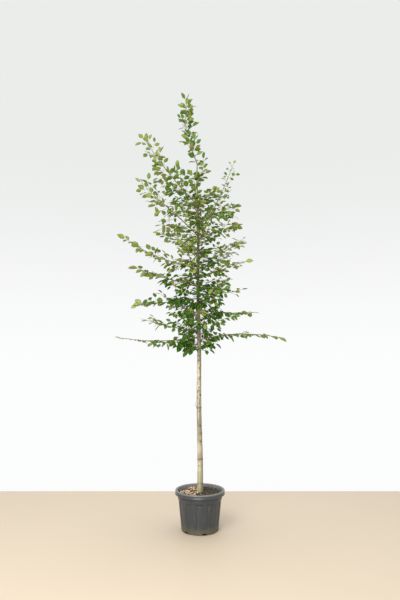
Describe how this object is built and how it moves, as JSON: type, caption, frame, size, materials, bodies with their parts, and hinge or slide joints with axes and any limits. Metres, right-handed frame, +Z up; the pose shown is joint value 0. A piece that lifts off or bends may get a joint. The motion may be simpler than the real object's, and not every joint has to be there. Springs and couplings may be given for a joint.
{
  "type": "potted young hornbeam tree",
  "caption": "Young hornbeam with a straight clear stem and an airy cone of side branches with small pleated leaves, growing in a round nursery pot of dark plastic.",
  "frame": {"origin": "middle of the pot's flat underside, on the surface it stands on", "axes": "+Z up along the stem; -Y is the front, where the longest low branches reach to the left (-X) and to the right (+X)"},
  "size_m": [1.3462, 0.8807, 3.3442],
  "materials": {
    "pot_plastic": "dark grey moulded plastic, satin and a little dirty near its foot",
    "compost": "rough compost with bark chips",
    "bark": "smooth olive-tan young bark, browner in the crown",
    "leaf_green": "matt green leaf"
  },
  "bodies": {
    "root": {"pot": "pot_plastic", "soil": "compost", "trunk": "bark", "bough_low_left": "bark", "bough_low_left_front": "bark", "bough_low_right": "bark", "bough_low_right_front": "bark", "bough_low_back": "bark", "bough_low_front": "bark", "bough_middle_right": "bark", "bough_middle_back_left": "bark", "bough_middle_left": "bark", "bough_middle_front_right": "bark", "bough_middle_right_front": "bark", "bough_middle_back_right": "bark", "bough_middle_left_front": "bark", "bough_middle_right_high": "bark", "bough_middle_front": "bark", "bough_upper_left_back": "bark", "bough_upper_right": "bark", "bough_upper_back": "bark", "bough_upper_left_front": "bark", "bough_upper_front": "bark", "bough_upper_left": "bark", "bough_high_right": "bark", "bough_high_right_front": "bark", "bough_high_left": "bark", "foliage_low_left": "leaf_green", "foliage_low_left_front": "leaf_green", "foliage_low_right": "leaf_green", "foliage_low_right_front": "leaf_green", "foliage_low_back": "leaf_green", "foliage_low_front": "leaf_green", "foliage_middle_right": "leaf_green", "foliage_middle_back_left": "leaf_green", "foliage_middle_left": "leaf_green", "foliage_middle_front_right": "leaf_green", "foliage_middle_right_front": "leaf_green", "foliage_middle_back_right": "leaf_green", "foliage_middle_left_front": "leaf_green", "foliage_middle_right_high": "leaf_green", "foliage_middle_front": "leaf_green", "foliage_upper_left_back": "leaf_green", "foliage_upper_right": "leaf_green", "foliage_upper_back": "leaf_green", "foliage_upper_left_front": "leaf_green", "foliage_upper_front": "leaf_green", "foliage_upper_left": "leaf_green", "foliage_high_right": "leaf_green", "foliage_high_right_front": "leaf_green", "foliage_high_left": "leaf_green", "foliage_shoot_low_left": "leaf_green", "foliage_shoot_low_right": "leaf_green", "foliage_shoot_inner_left": "leaf_green", "foliage_shoot_inner_right": "leaf_green", "foliage_shoot_back": "leaf_green", "foliage_shoot_front": "leaf_green", "foliage_shoot_high_right": "leaf_green", "foliage_shoot_upright": "leaf_green", "foliage_leader": "leaf_green"}
  },
  "joints": []
}
